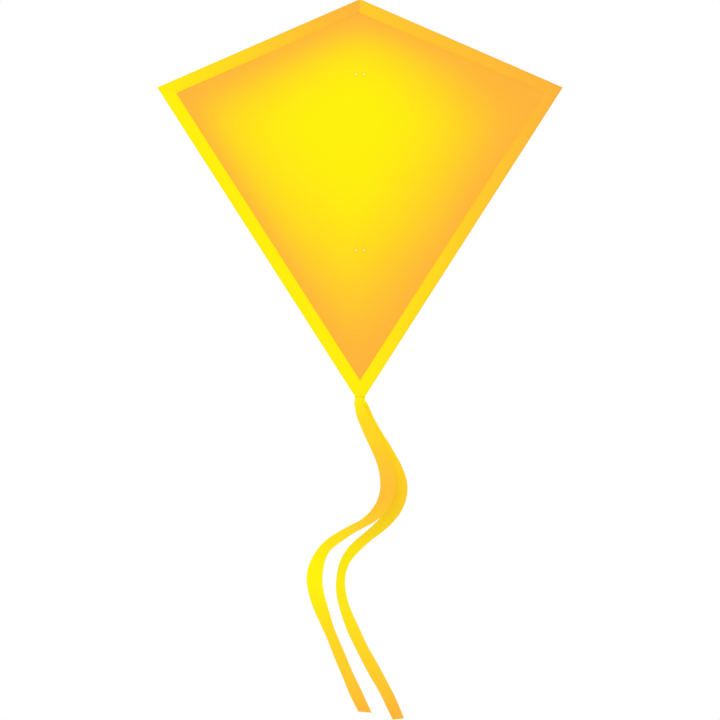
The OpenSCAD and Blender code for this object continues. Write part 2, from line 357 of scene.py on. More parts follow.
def floor_material():
    """Off-white, and painted paler towards its rim: painted light, so that its edge fades into the white
    background.
    """
    made, tree, shader = new_material("studio_floor", (0.9, 0.9, 0.9))
    place = object_place(tree)
    cloudy = noise(tree, place, 3.0, 4.0)
    colour = ramp(tree, cloudy, ((0.3, (0.945, 0.945, 0.945)), (0.7, (0.965, 0.965, 0.965))))
    level = add(tree, "ShaderNodeVectorMath", {0: place, 1: (1, 1, 0)}, operation="MULTIPLY").outputs[0]
    reach = add(tree, "ShaderNodeVectorMath", {0: level}, operation="LENGTH").outputs["Value"]
    # Painted light: the colour is lifted towards the rim, up to about white, so that the floor's edge fades
    # into the background
    paler = map_range(tree, reach, 0.25, FLOOR_R, 1.0, 1.04)
    finish_shader(tree, shader, colour, paler, map_range(tree, cloudy, 0.3, 0.7, 0.7, 0.8), None,
                  {"Specular IOR Level": 0.1})
    return made


# ---- meshes

def new_mesh(name, points, faces, finish):
    """A mesh in one finish, with its faces all turned outwards."""
    mesh = bpy.data.meshes.new(name)
    mesh.from_pydata(np.asarray(points, float).tolist(), [], [tuple(int(i) for i in f) for f in faces])
    work = bmesh.new()
    work.from_mesh(mesh)
    bmesh.ops.recalc_face_normals(work, faces=work.faces)
    work.to_mesh(mesh)
    work.free()
    mesh.materials.append(finish)
    return mesh


def piece(name, points, faces, finish, tones=None, flat=None, smooth_angle=40):
    """A mesh piece. tones is the dye at each point, and flat its place on the cloth's pattern."""
    mesh = new_mesh(name, points, faces, finish)
    if tones is not None:
        layer = mesh.attributes.new("print_tone", "FLOAT", "POINT")
        layer.data.foreach_set("value", np.asarray(tones, np.float32))
    if flat is not None:
        corners = np.zeros(len(mesh.loops), np.int32)
        mesh.loops.foreach_get("vertex_index", corners)
        layer = mesh.uv_layers.new(name="UVMap")
        layer.data.foreach_set("uv", np.asarray(flat, np.float32)[corners].ravel())
    mesh.shade_smooth()
    mesh.set_sharp_from_angle(angle=math.radians(smooth_angle))
    made = placed(name, mesh)
    return made


def stand_in(node, suffix, body, points, faces, finish, tones=None, flat=None):
    """A mesh piece in place of a CAD node, which moves with that node's body."""
    made = piece(node + suffix, points, faces, finish, tones, flat)
    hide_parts(node)
    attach(made, body)
    return made


def shell(count, cells):
    """Faces of a closed skin: cells on its front, the same cells count points on for its back, and walls."""
    faces = [tuple(c) for c in cells] + [tuple(i + count for i in reversed(c)) for c in cells]
    edges = {edge for c in cells for edge in zip(c, (*c[1:], c[0]))}
    return faces + [(b, a, a + count, b + count) for a, b in sorted(edges) if (b, a) not in edges]


def grid_cells(rows, columns, keep=lambda row, column: True):
    return [(r * columns + c, r * columns + c + 1, (r + 1) * columns + c + 1, (r + 1) * columns + c)
            for r in range(rows - 1) for c in range(columns - 1) if keep(r, c)]


def tube_faces(rings, points, closed=True):
    """Faces of a tube of rings, each with that many points, with its two ends filled if it is closed."""
    faces = [(r * points + k, r * points + (k + 1) % points, (r + 1) * points + (k + 1) % points,
              (r + 1) * points + k) for r in range(rings - 1) for k in range(points)]
    if closed:
        last = (rings - 1) * points
        faces += [tuple(reversed(range(points))), tuple(range(last, last + points))]
    return faces


def lathe(profile, origin, axis, steps=40):
    """Points and faces of a closed profile of (radius, height) turned round an axis."""
    turn = np.array(Vector(axis).to_track_quat("Z", "Y").to_matrix(), float)
    angles = np.arange(steps) * 2 * math.pi / steps
    profile = np.asarray(profile, float)
    radius, height = profile[:, 0], profile[:, 1]
    ring = np.stack([np.outer(np.cos(angles), radius), np.outer(np.sin(angles), radius),
                     np.broadcast_to(height, (steps, len(height)))], -1)
    count = len(profile)
    faces = [(s * count + k, s * count + (k + 1) % count, (s + 1) % steps * count + (k + 1) % count,
              (s + 1) % steps * count + k) for s in range(steps) for k in range(count)]
    return ring.reshape(-1, 3) @ turn.T + np.array(origin, float), faces


def joined(parts):
    """Several (points, faces) as one."""
    points, faces, start = [], [], 0
    for part_points, part_faces in parts:
        points.append(part_points)
        faces += [tuple(i + start for i in f) for f in part_faces]
        start += len(part_points)
    return np.concatenate(points), faces


def read_off(table, place):
    """The value at a place, or at each of several, from a table of (place, value)."""
    return np.interp(place, *zip(*table))


def arc(centre, radius, start, end, steps):
    """Points (radius, height) round part of a circle, in degrees."""
    turns = np.radians(np.linspace(start, end, steps))
    return [(centre[0] + radius * math.cos(t), centre[1] + radius * math.sin(t)) for t in turns]


# ---- the sail's shape

BELLY = 0.0055
CREASE = 0.00028
CREASE_REACH = 0.11


def half_width(z):
    """From the middle of the flat pattern to its edge, at height z."""
    z = np.asarray(z, float)
    above = HALF_W * (NOSE_Z - z) / (NOSE_Z - CROSS_Z)
    below = HALF_W * (z - POINT_Z) / (CROSS_Z - POINT_Z)
    return np.maximum(np.minimum(above, below), 1e-4)


def depth(u, z):
    """How far behind the middle of the kite the cloth lies, u along the pattern and at height z."""
    side = np.abs(u)
    past = side - FOLD_X
    leaned = math.sin(LEAN) * 0.5 * (past + np.sqrt(past ** 2 + 0.006 ** 2))
    share = np.clip(side / half_width(z), 0, 1)
    drop = np.clip((NOSE_Z - z) / (NOSE_Z - TAIL_Z), 0, 1)
    belly = BELLY * np.sin(math.pi * drop ** 0.8) * np.sin(math.pi * share) ** 2
    from_tip = np.hypot(HALF_W - side, z - CROSS_Z)
    turn = np.arctan2(z - CROSS_Z, HALF_W - side + 1e-6)
    pull = from_tip / CREASE_REACH * np.exp(1 - from_tip / CREASE_REACH)
    creases = CREASE * pull * np.sin(17 * turn + 2.5 * np.sign(u)) * np.sin(math.pi * share)
    return leaned + belly + creases


def lay(u, z, off):
    """The place of a point of the flat pattern on the kite, off in front (-) or behind (+) the cloth."""
    u, z, off = np.broadcast_arrays(np.asarray(u, float), np.asarray(z, float), np.asarray(off, float))
    side = np.abs(u)
    x = np.sign(u) * (np.minimum(side, FOLD_X) + np.maximum(side - FOLD_X, 0) * math.cos(LEAN))
    return np.stack([x, depth(u, z) + off, z], -1)


CORNERS = {"nose": (0.0, NOSE_Z), "left": (-HALF_W, CROSS_Z), "low": (0.0, POINT_Z),
           "right": (HALF_W, CROSS_Z)}
ORDER = tuple(CORNERS)
# The sides by the sign of X
SIDES = {-1: "left", 1: "right"}


def inward(a, b):
    """The unit vector into the sail from the edge that runs from corner a to corner b."""
    run = np.subtract(CORNERS[b], CORNERS[a])
    normal = np.array([-run[1], run[0]]) / np.hypot(*run)
    inside = np.array([0.0, CROSS_Z - 0.1])
    return normal if normal @ (inside - np.array(CORNERS[a])) > 0 else -normal


def mitre(corner):
    """How far the corner moves for each metre that both its edges move in."""
    place = ORDER.index(corner)
    before = inward(ORDER[place - 1], corner)
    after = inward(corner, ORDER[(place + 1) % 4])
    return (before + after) / (1 + before @ after)


def from_edges(u, z):
    """Distances from the four edges, in the order upper left, lower left, lower right, upper right."""
    found = []
    for a, b in zip(ORDER, (*ORDER[1:], ORDER[0])):
        normal = inward(a, b)
        found.append((u - CORNERS[a][0]) * normal[0] + (z - CORNERS[a][1]) * normal[1])
    return np.maximum(np.stack(found), 0)


def sail_tone(u, z):
    """The print: yellow round a point above the middle, orange outwards and along the edges."""
    right, up = u + 0.019, z + 0.096
    reach_x = np.where(right < 0, 0.298, 0.239)
    reach_z = np.where(up > 0, 0.261, 0.331)
    spread = (np.abs(right / reach_x) ** 1.34 + np.abs(up / reach_z) ** 1.34) ** (1 / 1.34)
    paler = np.exp(-spread ** 3.06)
    widths = np.array([0.063, 0.043, 0.041, 0.050])
    shape = (4,) + (1,) * np.ndim(u)
    near_edge = np.exp(-(from_edges(u, z) / widths.reshape(shape)) ** 1.85)
    return 1 - paler * np.prod(1 - near_edge, axis=0)


def tone_at(z):
    """The print's tone on the kite's middle line."""
    return float(sail_tone(np.array(0.0), np.array(z)))


# ---- the sail

ROW_STEP = 0.004
NEAR_SPINE = (0.0, 0.003, 0.0062, 0.0098, 0.0125, 0.015, 0.017, 0.019, 0.0215, 0.025)
OUTER_COLUMNS = 82
HOLE_HALF = 0.0018


def sail_rows():
    """Heights of the sail's rows, with a row at each wing tip and at each side of the eyelet holes."""
    low, high = TAIL_Z + 0.0004, NOSE_Z - 0.0014
    rows = set(np.round(np.linspace(low, high, int((high - low) / ROW_STEP) + 1), 6))
    exact = {CROSS_Z, HOLE_HALF, -HOLE_HALF, LOWER_BRIDLE_Z + HOLE_HALF, LOWER_BRIDLE_Z - HOLE_HALF}
    rows = {z for z in rows if all(abs(z - fixed) > 0.0015 for fixed in exact)} | exact
    return np.array(sorted(rows))


def sail_columns(edge):
    """Distances from the spine to the edge: the same near the spine in every row, then spread evenly."""
    shrink = min(1.0, edge / 0.06)
    near = np.array(NEAR_SPINE) * shrink
    return np.concatenate([near, np.linspace(near[-1], edge, OUTER_COLUMNS + 1)[1:]])


def build_sail(side, finish):
    rows = sail_rows()
    edges = half_width(rows) - EDGE_SEAM * np.where(rows > CROSS_Z, 2.5, 1.2)
    grid_u = np.array([side * sail_columns(max(edge, 0.0006)) for edge in edges])
    grid_z = np.repeat(rows[:, None], grid_u.shape[1], axis=1)

    def keep(row, column):
        u = abs(grid_u[row:row + 2, column:column + 2].mean())
        z = grid_z[row:row + 2, column:column + 2].mean()
        at_hole = min(abs(z), abs(z - LOWER_BRIDLE_Z)) < HOLE_HALF
        return not (at_hole and abs(u - EYELET_X) < HOLE_HALF)

    u, z = grid_u.ravel(), grid_z.ravel()
    cells = grid_cells(*grid_u.shape, keep)
    points = np.concatenate([lay(u, z, -CLOTH_HALF), lay(u, z, CLOTH_HALF)])
    tones = np.tile(sail_tone(u, z), 2)
    flat = np.tile(np.stack([u, z], -1), (2, 1))
    skin = shell(len(u), cells)
    made = piece("sail_cloth_" + SIDES[side], points, skin, finish, tones, flat)
    used = ("sail_left", "sail_center") if side < 0 else ("sail_right",)
    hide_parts(*used)
    return made


def fold_with_wing(made):
    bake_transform(made)


# ---- edge bindings and stitches

BANDS = {"binding_upper_left": ("left", "nose", -1), "binding_upper_right": ("right", "nose", 1),
         "binding_lower_left": ("left", "low", -1), "binding_lower_right": ("right", "low", 1)}


def band_tone(name, u):
    """The dye along a binding, by its distance from the spine."""
    share = np.clip(np.abs(u) / HALF_W, 0, 1)
    return {"binding_upper_left": 1 - share, "binding_upper_right": 0.6 + 0.38 * share,
            "binding_lower_left": 0 * share, "binding_lower_right": share}[name]


def band_line(name, inset):
    """The two ends of the line that lies inset from a binding's outer edge."""
    start_name, end_name, _ = BANDS[name]
    start = np.array(CORNERS[start_name]) + inset * mitre(start_name)
    end = np.array(CORNERS[end_name]) + inset * mitre(end_name)
    if end_name == "low" and end[1] < TAIL_Z:
        end = start + (end - start) * (start[1] - TAIL_Z) / (start[1] - end[1])
    return start, end


def band_height(inset, along):
    """Distance of a binding's outside from the middle of the cloth, with dips at its stitches."""
    rounded = np.sqrt(1 - (1 - np.clip(inset / 0.0014, 0, 1)) ** 2)
    dips = sum(np.exp(-((inset - row) / 0.0008) ** 2) for row in STITCH_ROWS)
    quilted = np.exp(-((inset - 0.0065) / 0.005) ** 2) * 0.00008 * np.sin(along * 2 * math.pi / 0.0087)
    return rounded * (BINDING_OUT + 0.00012 * np.sin(math.pi * np.clip(inset / BINDING_W, 0, 1))
                      - 0.00013 * dips + quilted)


# The line along a lower binding that runs into the corner where the mitre meets the level lower end
CORNER_INSET = (TAIL_Z - POINT_Z) / mitre("low")[1]
OUTSIDE = (BINDING_W, 0.0237, 0.0226, 0.0215, 0.0204, 0.0175, 0.014, 0.0105, CORNER_INSET, 0.0065, 0.0048,
           0.0036, 0.0025, 0.0015, 0.0008, 0.0003, 0.00005)
INSIDE = (0.0014, CORNER_INSET, 0.016, 0.0238)


def end_faces(loop, first):
    """Fills one end of a binding, between its outside and its inside. first is the end's first point."""
    places = [inset * face for inset, face, _ in loop]
    outer = [k for k, (_, _, within) in enumerate(loop) if not within]
    inner = [k for k, (_, _, within) in enumerate(loop) if within][::-1]
    faces, i, j = [], 0, 0
    while i < len(outer) - 1 or j < len(inner) - 1:
        inner_done = j == len(inner) - 1
        outer_next = i < len(outer) - 1 and (inner_done or places[outer[i + 1]] <= places[inner[j + 1]])
        ahead = outer[i + 1] if outer_next else inner[j + 1]
        faces.append((first + outer[i], first + ahead, first + inner[j]))
        i, j = (i + 1, j) if outer_next else (i, j + 1)
    return faces


def build_band(name, finish):
    side = BANDS[name][2]
    loop = [(d, -1, False) for d in OUTSIDE] + [(0.0, 0, False)] + [(d, 1, False) for d in OUTSIDE[::-1]]
    loop += [(d, 1, True) for d in INSIDE[::-1]] + [(0.0009, 0, True)] + [(d, -1, True) for d in INSIDE]
    start, end = band_line(name, 0)
    length = np.hypot(*(end - start))
    share = np.linspace(0, 1, int(length / 0.0036) + 1)
    points, tones, flat, travelled = [], [], [], 0.0
    for place, (inset, face, within) in enumerate(loop):
        start, end = band_line(name, inset)
        line = start + share[:, None] * (end - start)
        off = face * (BINDING_IN if within else band_height(inset, share * length))
        points.append(lay(side * np.abs(line[:, 0]), line[:, 1], off))
        tones.append(band_tone(name, line[:, 0]))
        travelled += abs(inset - loop[place - 1][0]) if place else 0.0
        flat.append(np.stack([share * length, np.full(len(share), travelled)], -1))
    points = np.stack(points, 1).reshape(-1, 3)
    tones = np.stack(tones, 1).ravel()
    flat = np.stack(flat, 1).reshape(-1, 2)
    faces = tube_faces(len(share), len(loop), closed=False)
    faces += end_faces(loop, 0) + end_faces(loop, (len(share) - 1) * len(loop))
    made = piece(name + "_tape", points, faces, finish, tones, flat)
    extra = {"binding_upper_left": ["nose_binding"], "binding_lower_left": ["tail_binding"]}
    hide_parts(name, *extra.get(name, []))
    return made


def unit(vectors):
    return vectors / np.linalg.norm(vectors, axis=1)[:, None]


def run_along(path):
    """The distance along a path, at each of its points."""
    return np.concatenate([[0], np.cumsum(np.linalg.norm(np.diff(path, axis=0), axis=1))])


def stitch_points(path, face):
    """Points and faces of stitches along a path on the cloth's front (face is -1) or its back (1)."""
    outward = np.array([0.0, face, 0.0])
    run = run_along(path)
    count = max(1, int(run[-1] / STITCH_PITCH))
    starts = (np.arange(count) + 0.5) * run[-1] / count - STITCH_L / 2
    turns = np.arange(6) * math.pi / 3
    shape = ((0.0, 0.35, -0.5), (0.18, 0.9, 0.25), (0.5, 1.0, 0.5), (0.82, 0.9, 0.25), (1.0, 0.35, -0.5))
    rings = []
    for share, wide, rise in shape:
        place = starts + share * STITCH_L
        spot, ahead, behind = (np.stack([np.interp(place + move, run, path[:, k]) for k in range(3)], -1)
                               for move in (0.0, 1e-4, -1e-4))
        beside = unit(np.cross(unit(ahead - behind), outward))
        centre = spot + THREAD_R * rise * outward
        rings.append(centre[:, None] + THREAD_R * wide * (np.cos(turns)[None, :, None] * beside[:, None]
                                                          + np.sin(turns)[None, :, None] * outward))
    points = np.stack(rings, 1).reshape(-1, 3)
    one = tube_faces(len(shape), len(turns))
    size = len(shape) * len(turns)
    return points, [tuple(i + size * s for i in f) for s in range(count) for f in one]


def sew(name, runs, finish, tone, body):
    """Seams along runs of (path, face)."""
    points, faces = joined([stitch_points(path, face) for path, face in runs])
    made = piece("stitches_" + name, points, faces, finish, np.full(len(points), tone),
                 smooth_angle=60)
    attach(made, body)
    return made


def build_band_stitches(name, finish):
    side = BANDS[name][2]
    parts = []
    for inset in STITCH_ROWS:
        start, end = band_line(name, inset)
        length = np.hypot(*(end - start))
        share = np.linspace(0.002 / length, 1 - 0.002 / length, int(length / 0.004))
        line = start + share[:, None] * (end - start)
        for face in (-1, 1):
            off = face * band_height(inset, share * length)
            path = lay(side * np.abs(line[:, 0]), line[:, 1], off)
            parts.append(stitch_points(path, face))
    points, faces = joined(parts)
    return piece("stitches_" + name[8:], points, faces, finish,
                 band_tone(name, points[:, 0]), smooth_angle=60)


# ---- tails

RIBBON_W = 0.032
RIBBON_HALF = 0.00024
# Along each ribbon: below the nose, sideways, back from the strap, turn in degrees, share of the width
FRONT_ROUTE = (
    (0.7535, -0.0028, -0.0005, 1, 0.45), (0.762, -0.0023, -0.0007, 5, 0.49),
    (0.79, 0.0085, -0.005, 34, 0.84), (0.832, 0.0288, -0.013, 36, 0.94),
    (0.875, 0.047, -0.022, 33, 0.98), (0.909, 0.0525, -0.026, 25, 0.98),
    (0.938, 0.047, -0.022, 33, 0.98), (0.96, 0.034, -0.014, 47, 1), (0.98, 0.0115, -0.006, 60, 1),
    (1, -0.0225, 0.004, 61, 1), (1.025, -0.0585, 0.015, 53, 1), (1.052, -0.0768, 0.023, 40, 1),
    (1.085, -0.0852, 0.027, 21, 1), (1.12, -0.0808, 0.024, 25, 1), (1.165, -0.065, 0.014, 43, 1),
    (1.21, -0.0465, 0.003, 50, 1), (1.256, -0.0273, -0.006, 46.5, 1), (1.298, -0.0085, -0.012, 44, 1),
    (1.3365, 0.0098, -0.014, 44, 1))
BACK_ROUTE = (
    (0.7535, 0.0028, 0.0005, 0, 0.45), (0.762, 0.0055, 0.0007, -1, 0.56),
    (0.785, 0.014, 0.007, -29, 0.75), (0.82, 0.031, 0.01, -35, 0.9), (0.85, 0.049, 0.012, -36, 1),
    (0.882, 0.066, 0.014, -34, 1), (0.914, 0.0745, 0.015, -27, 1), (0.942, 0.0715, 0.016, -30, 1),
    (0.966, 0.059, 0.018, -39, 1), (0.99, 0.0372, 0.021, -46, 1), (1.012, 0.0105, 0.024, -50, 1),
    (1.036, -0.0148, 0.027, -52, 1), (1.062, -0.031, 0.028, -55, 1), (1.095, -0.0373, 0.025, -60, 1),
    (1.13, -0.033, 0.017, -55, 1), (1.168, -0.0196, 0.005, -50, 1), (1.212, 0.0008, -0.008, -47, 1),
    (1.256, 0.0246, -0.017, -46, 1), (1.302, 0.05, -0.022, -47, 1), (1.3485, 0.0712, -0.024, -53, 1))
# The tone along each ribbon, 0 yellow to 1 orange, by metres below the nose. On the back ribbon, from about
# 0.8 to 1.03 m, the tone is set yellower where the front ribbon shades it: painted light
FRONT_RIBBON_TONE = ((0.75, 0.1), (0.79, 0.38), (0.83, 0.48), (0.875, 0.7), (0.91, 0.8), (0.935, 0.8),
             (0.958, 0.68), (0.986, 0.48), (1.008, 0.25), (1.031, 0.1), (1.055, 0.0), (1.1, 0.0),
             (1.12, 0.06), (1.166, 0.22), (1.212, 0.4), (1.257, 0.54), (1.302, 0.73), (1.34, 0.92))
BACK_RIBBON_TONE_AND_LIGHT = ((0.75, 0.08), (0.8, 0.24), (0.84, 0.29), (0.87, 0.42), (0.93, 0.5), (0.955, 0.44),
            (0.985, 0.32), (1.008, 0.26), (1.031, 0.06), (1.05, 0.0), (1.1, 0.0), (1.165, 0.18),
            (1.21, 0.38), (1.257, 0.54), (1.302, 0.72), (1.35, 0.96))


def through(points, steps):
    """A smooth curve through a list of points, that many steps from one to the next."""
    p = np.array(points, float)
    made = []
    for i in range(len(p) - 1):
        a, b, c, d = p[max(i - 1, 0)], p[i], p[i + 1], p[min(i + 2, len(p) - 1)]
        t = (np.arange(steps) / steps)[:, None]
        curve = (2 * a - 5 * b + 4 * c - d) + t * (3 * b - a - 3 * c + d)
        made.append(b + 0.5 * t * ((c - a) + t * curve))
    return np.concatenate([*made, p[-1:]])


def with_head(route, face):
    """The route with its sewn head in front: two points that lie flat on that face of the strap."""
    first = route[0]
    on_strap = face * 0.00086
    head = [(NOSE_Z - TAIL_Z - 0.0018, first[1] * 0.9, on_strap, 0, 0.44),
            (NOSE_Z - TAIL_Z + 0.004, first[1], on_strap, 0, 0.45)]
    return head + list(route)


def build_ribbon(name, route, dye, face, finish):
    path = through(with_head(route, face), 9)
    spot = np.stack([path[:, 1], path[:, 2] + STRAP_Y, NOSE_Z - path[:, 0]], -1)
    along = unit(np.gradient(spot, axis=0))
    beside = unit(np.stack([-along[:, 2], 0 * along[:, 0], along[:, 0]], -1))
    back = np.cross(along, beside)
    turn = np.radians(path[:, 3])[:, None]
    across = beside * np.cos(turn) + back * np.sin(turn)
    proud = np.cross(along, across)
    run = run_along(spot)
    columns = np.array([-1, -0.985, -0.93, -0.75, -0.45, -0.15, 0.15, 0.45, 0.75, 0.93, 0.985, 1])
    half = RIBBON_W * path[:, 4] / 2
    free = smoothstep(run, 0.03, 0.09)
    cup = 0.0007 * columns[None] ** 2 * free[:, None]
    flutter = 0.0005 * columns[None] ** 3 * np.sin(run * 2 * math.pi / 0.083 + face)[:, None] * free[:, None]
    level = smoothstep(run, run[-1] - 0.03, run[-1])

    def cut(offset):
        """Slides the last rows along the ribbon, so that it ends level."""
        return offset - along[:, None] * (level[:, None] * offset[..., 2] / along[:, 2:])[..., None]

    cloth = spot[:, None] + cut(across[:, None] * (half[:, None] * columns[None])[..., None]
                                + proud[:, None] * (cup + flutter)[..., None])
    hem = 1 - 0.45 * smoothstep(np.abs(columns), 0.975, 1.0)
    thick = cut(proud[:, None] * (RIBBON_HALF * hem)[None, :, None])
    points = np.concatenate([(cloth - thick).reshape(-1, 3), (cloth + thick).reshape(-1, 3)])
    below = NOSE_Z - cloth[..., 2]
    # dye is a ribbon's tone table; the back ribbon's holds painted light, set yellower where the front
    # ribbon shades it
    tones = read_off(dye, 0.35 * below + 0.65 * path[:, :1])
    flat = np.stack([np.repeat(run[:, None], len(columns), 1), half[:, None] * columns[None]], -1)
    made = piece(name + "_cloth", points, shell(cloth[..., 0].size, grid_cells(len(run), len(columns))),
                 finish, np.tile(tones.ravel(), 2), np.tile(flat.reshape(-1, 2), (2, 1)))
    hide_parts(name)
    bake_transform(made)


def rounded_slab(outline, y0, y1, soften=0.0003):
    """Points and faces of a flat shape in X and Z between two depths, its edges eased."""
    outline = np.array(outline, float)
    centre = outline.mean(0)
    size = np.linalg.norm(outline - centre, axis=1).mean()
    inner = centre + (outline - centre) * (1 - soften / size)
    levels = ((inner, y0), (outline, y0 + soften), (outline, y1 - soften), (inner, y1))
    points = np.concatenate([np.stack([shape[:, 0], np.full(len(shape), y), shape[:, 1]], -1)
                             for shape, y in levels])
    return points, tube_faces(len(levels), len(outline))


def build_strap(finish):
    low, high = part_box("tail_strap")
    radius = (high.x - low.x) / 2
    outline = arc((0, RIVET_Z), radius, 0, 180, 25) + [(-radius, low.z), (radius, low.z)]
    points, faces = rounded_slab(outline, low.y, high.y)
    stand_in("tail_strap", "_webbing", "tail_head", points, faces, finish,
             np.full(len(points), 0.04), points[:, (0, 2)])


# ---- pockets and patches

def pocket_section(scale, half_plate, base, centre, radius):
    """Half of a pocket's outside, from its flat rim to its top: sideways and back from the sail."""
    foot = radius * 1.32 * scale + 0.0008
    rim = [(max(half_plate, foot + 0.0012), base), (max(half_plate - 0.0009, foot + 0.0009), base + 0.0001),
           (max(half_plate - 0.0016, foot + 0.0006), base)]
    rise = (centre - base) * scale
    curve = [(foot, base), (foot - 0.0007 * scale, base + 0.12 * rise)]
    over = arc((0, base + rise), radius * scale, -8, 90, 12)
    return rim + [(max(foot + 0.0003, min(0.0068, half_plate - 0.002)), base)] + curve + over


# A pouch is full this far from its closed end, so that the rod's cap fits inside it
PLUMP_BY = 0.0016
# A pouch's outer radius, its plate's distance behind the middle of the cloth, and its thickness
POUCH_R = 0.0038
POUCH_FLOOR = 0.00072
POUCH_THICK = 0.0007


def pocket_shape(length, half_plates, centre):
    """A pouch along its own length: (length, side, back) points from its closed end to its mouth."""
    near_end = (0.0, 0.00015, 0.0004, 0.0008, 0.0013, 0.0019, 0.0028, 0.0045)
    stations = np.concatenate([near_end, np.linspace(0.0065, length, 16)])
    outer, inner = [], []
    for place in stations:
        plump = 0.12 + 0.88 * math.sqrt(1 - (1 - min(place / PLUMP_BY, 1)) ** 2)
        half_plate = float(read_off(half_plates, place))
        crimped = POUCH_R + 0.0001 * math.sin(place * 2 * math.pi / 0.007)
        for rows, plate, base, radius in (
                (outer, half_plate, POUCH_FLOOR + POUCH_THICK, crimped),
                (inner, half_plate - 0.0001, POUCH_FLOOR, crimped - POUCH_THICK)):
            half = pocket_section(plump, plate, base, centre, radius)
            rows.append(half + [(-s, b) for s, b in half[::-1][1:]])
    grid = [np.concatenate([np.broadcast_to(stations[:, None, None], (len(stations), len(rows[0]), 1)),
                            np.array(rows)], -1) for rows in (outer, inner)]
    return grid, grid_cells(len(stations), len(outer[0]))


def build_pocket(name, place, body, length, half_plates, centre, tone, finish):
    """place turns (length, side, back) points of the pouch into points of the kite."""
    (outer, inner), cells = pocket_shape(length, half_plates, centre)
    own = np.concatenate([outer.reshape(-1, 3), inner.reshape(-1, 3)])
    return stand_in(name, "_pouch", body, place(own), shell(len(own) // 2, cells), finish,
                    np.full(len(own), tone), own[:, :2])


# A pouch's seams lie this far behind the middle of the cloth
SEAM_LEVEL = 0.0015


def seam_loop(place, half_width_of_seam, length):
    """A seam down one side of a pouch, across its closed end and up the other, as a path."""
    wide, mouth, end = half_width_of_seam, length - 0.001, 0.0012
    corners = [(mouth, wide), (end, wide), (end, -wide), (mouth, -wide)]
    path = []
    for a, b in zip(corners, corners[1:]):
        steps = max(2, int(np.hypot(b[0] - a[0], b[1] - a[1]) / 0.001))
        for t in np.linspace(0, 1, steps, endpoint=False):
            path.append((a[0] + t * (b[0] - a[0]), a[1] + t * (b[1] - a[1]), SEAM_LEVEL))
    path.append((*corners[-1], SEAM_LEVEL))
    return place(np.array(path))


def build_pockets(web, thread):
    nose_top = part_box("nose_pocket")[1].z - 0.0006
    tail_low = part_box("tail_pocket")[0].z
    length = extent("nose_pocket")[2]
    made = []

    def at_nose(p):
        return np.stack([p[:, 1], p[:, 2], nose_top - p[:, 0]], -1)

    def at_tail(p):
        return np.stack([p[:, 1], p[:, 2], tail_low + p[:, 0]], -1)

    nose_plate = ((0, 0.0048), (0.002, 0.009), (length, 0.009))
    tail_plate = ((0, 0.009), (length, 0.009))
    for name, place, plates, tone in (("nose_pocket", at_nose, nose_plate, 0.8),
                                      ("tail_pocket", at_tail, tail_plate, 0.1)):
        made.append(build_pocket(name, place, "frame", length - 0.001, plates, SPINE_Y, tone, web))
        path = seam_loop(place, 0.0076, length - 0.001)
        runs = [(path, 1)]
        if name == "nose_pocket":
            path = path[np.abs(path[:, 0]) < half_width(path[:, 2]) - 0.002]
            runs = [(path[path[:, 0] > 0], 1), (path[path[:, 0] < 0], 1)]
        made.append(sew(name, runs, thread, tone, "frame"))
    for side in SIDES:
        made += build_tip_pocket(side, web, thread)
    return made


def build_tip_pocket(side, web, thread):
    node, wing = "tip_pocket_" + SIDES[side], SIDES[side] + "_wing"
    seam_half = 0.0092
    low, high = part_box(node)
    outer = max(abs(low.x), abs(high.x))
    length = high.x - low.x
    halfway = outer - length / 2
    centre = BAR_Y - float(depth(side * halfway, CROSS_Z))
    plates = ((0, 0.003), (0.003, 0.0052), (0.012, 0.0105), (length, 0.0112))

    def at_tip(p):
        """Squeezes the pouch's upper side to stay inside the sail, and levels its top with the rod."""
        u = outer - p[:, 0]
        room = (HALF_W - u) * (NOSE_Z - CROSS_Z) / HALF_W - 0.0012
        wide = np.maximum(read_off(plates, p[:, 0]), 0.007)
        squeeze = np.clip((room - POUCH_R) / (wide - POUCH_R), 0.05, 1)
        up = np.where(p[:, 1] > POUCH_R, POUCH_R + (p[:, 1] - POUCH_R) * squeeze, p[:, 1])
        spot = lay(side * u, CROSS_Z + up, 0.0)
        tall = np.clip((p[:, 2] - SEAM_LEVEL) / (centre - SEAM_LEVEL), 0, 1)
        level = p[:, 2] - tall * math.tan(LEAN) * (u - halfway)
        return spot + np.stack([0 * u, level, 0 * u], -1)

    def at_seam(p):
        reach = np.minimum(seam_half, read_off(plates, p[:, 0]) - 0.0014)
        return at_tip(np.stack([p[:, 0], np.clip(p[:, 1], -reach, reach), p[:, 2]], -1))

    tone = 0.1 if side < 0 else 0.95
    pouch = build_pocket(node, at_tip, wing, length - 0.0005, plates, centre, tone, web)
    path = seam_loop(at_seam, seam_half, length - 0.0005)
    half = len(path) // 2
    runs = [(path[:half], 1), (path[half:], 1)]
    return [pouch, sew(node, runs, thread, tone, wing)]


PATCH_HOLE_R = 0.0017
PATCH_SEAM_R = 0.0115


